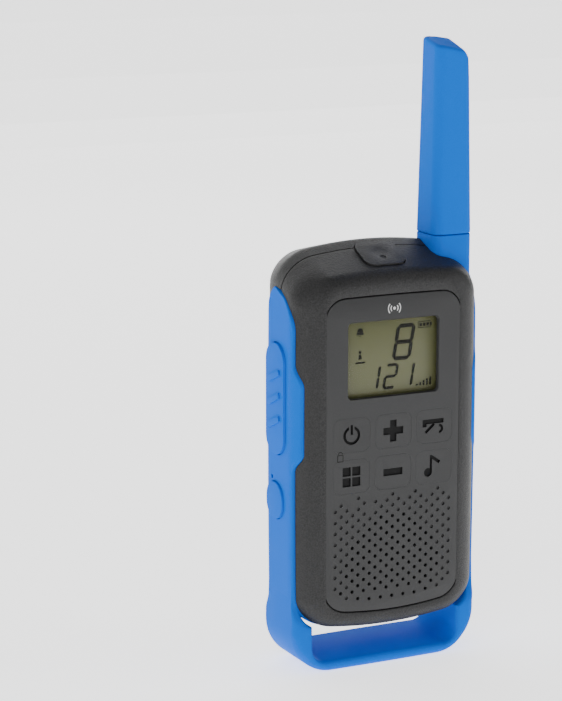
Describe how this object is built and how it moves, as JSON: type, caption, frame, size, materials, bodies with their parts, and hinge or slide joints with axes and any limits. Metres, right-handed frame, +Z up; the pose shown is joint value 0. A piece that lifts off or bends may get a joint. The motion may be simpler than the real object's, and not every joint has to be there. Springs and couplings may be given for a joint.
{
  "type": "walkie talkie",
  "caption": "Handheld two-way radio with a stub antenna, a small display over keys and a speaker grille, a side talk button, a belt clip and a lanyard loop it stands on.",
  "frame": {"origin": "on the flat underside of the lanyard loop, under the middle of the case's width and depth", "axes": "+Z up along the case and antenna, +X to the right as seen from the front, +Y from the front face to the belt clip"},
  "size_m": [0.0598, 0.037, 0.1752],
  "materials": {
    "housing_dark": "fine grained, matt",
    "panel_grey": "smooth satin",
    "soft_blue": "matt soft-touch",
    "lens_clear": "polished, clear",
    "lcd_olive": "flat grey-green, unlit",
    "holder_white": "moulded white",
    "mat_grey": "silicone",
    "board_green": "solder mask",
    "part_black": "moulded",
    "shield_tin": "tinned, formed",
    "contact_metal": "nickel plated",
    "screw_steel": "zinc plated",
    "brass": "turned",
    "copper": "enamelled wire",
    "cone_paper": "pressed fibre",
    "mesh_cloth": "fine woven",
    "magnet": "plated",
    "mic_can": "drawn",
    "cell_jacket": "printed shrink sleeve, plain"
  },
  "bodies": {
    "radio": {"front_housing": "housing_dark", "front_panel": "panel_grey", "display_lens": "lens_clear", "lcd_glass": "lcd_olive", "lcd_holder": "holder_white", "blue_frame": "soft_blue", "rear_housing": "housing_dark", "antenna_sheath": "soft_blue", "antenna_coil": "copper", "antenna_ferrule": "brass", "main_board": "board_green", "board_parts": "part_black", "rf_shield": "shield_tin", "dome_sheet": "contact_metal", "keypad_mat": "mat_grey", "ptt_switch": "part_black", "monitor_switch": "part_black", "top_switch": "part_black", "speaker_frame": "part_black", "speaker_cone": "cone_paper", "speaker_magnet": "magnet", "speaker_mesh": "mesh_cloth", "microphone": "mic_can", "mic_boot": "part_black", "battery_tray": "housing_dark", "battery_cell_left": "cell_jacket", "battery_cell_middle": "cell_jacket", "battery_cell_right": "cell_jacket", "battery_springs": "contact_metal", "battery_contacts": "contact_metal", "case_screws": "screw_steel", "port_socket": "shield_tin"},
    "ptt_button": {"ptt_button": "soft_blue"},
    "monitor_button": {"monitor_button": "soft_blue"},
    "top_button": {"top_button": "housing_dark"},
    "key_power": {"key_power": "panel_grey"},
    "key_up": {"key_up": "panel_grey"},
    "key_call": {"key_call": "panel_grey"},
    "key_menu": {"key_menu": "panel_grey"},
    "key_down": {"key_down": "panel_grey"},
    "key_tone": {"key_tone": "panel_grey"},
    "battery_door": {"battery_door": "housing_dark"},
    "belt_clip": {"belt_clip": "housing_dark"},
    "port_flap": {"port_flap": "soft_blue"}
  },
  "joints": [
    {"name": "ptt_press", "type": "slide", "parent": "radio", "child": "ptt_button", "axis": [1, 0, 0], "range_m": [0, 0.001], "stiffness_N_per_m": 2500},
    {"name": "monitor_press", "type": "slide", "parent": "radio", "child": "monitor_button", "axis": [1, 0, 0], "range_m": [0, 0.0006], "stiffness_N_per_m": 2500},
    {"name": "top_press", "type": "slide", "parent": "radio", "child": "top_button", "axis": [0, 0.4384, -0.8988], "range_m": [0, 0.0006], "stiffness_N_per_m": 2500},
    {"name": "power_press", "type": "slide", "parent": "radio", "child": "key_power", "axis": [0, 1, 0], "range_m": [0, 0.0005], "stiffness_N_per_m": 2500},
    {"name": "up_press", "type": "slide", "parent": "radio", "child": "key_up", "axis": [0, 1, 0], "range_m": [0, 0.0005], "stiffness_N_per_m": 2500},
    {"name": "call_press", "type": "slide", "parent": "radio", "child": "key_call", "axis": [0, 1, 0], "range_m": [0, 0.0005], "stiffness_N_per_m": 2500},
    {"name": "menu_press", "type": "slide", "parent": "radio", "child": "key_menu", "axis": [0, 1, 0], "range_m": [0, 0.0005], "stiffness_N_per_m": 2500},
    {"name": "down_press", "type": "slide", "parent": "radio", "child": "key_down", "axis": [0, 1, 0], "range_m": [0, 0.0005], "stiffness_N_per_m": 2500},
    {"name": "tone_press", "type": "slide", "parent": "radio", "child": "key_tone", "axis": [0, 1, 0], "range_m": [0, 0.0005], "stiffness_N_per_m": 2500},
    {"name": "door_slide", "type": "slide", "parent": "radio", "child": "battery_door", "axis": [0, 0, -1], "range_m": [0, 0.008]},
    {"name": "clip_swivel", "type": "hinge", "parent": "radio", "child": "belt_clip", "pos_m": [0, 0.013, 0.094], "axis": [0, 1, 0], "range_deg": [-90, 90]},
    {"name": "flap_hinge", "type": "hinge", "parent": "radio", "child": "port_flap", "pos_m": [0.02885, 0.00235, 0.09], "axis": [0, 0, 1], "range_deg": [0, 90]}
  ]
}
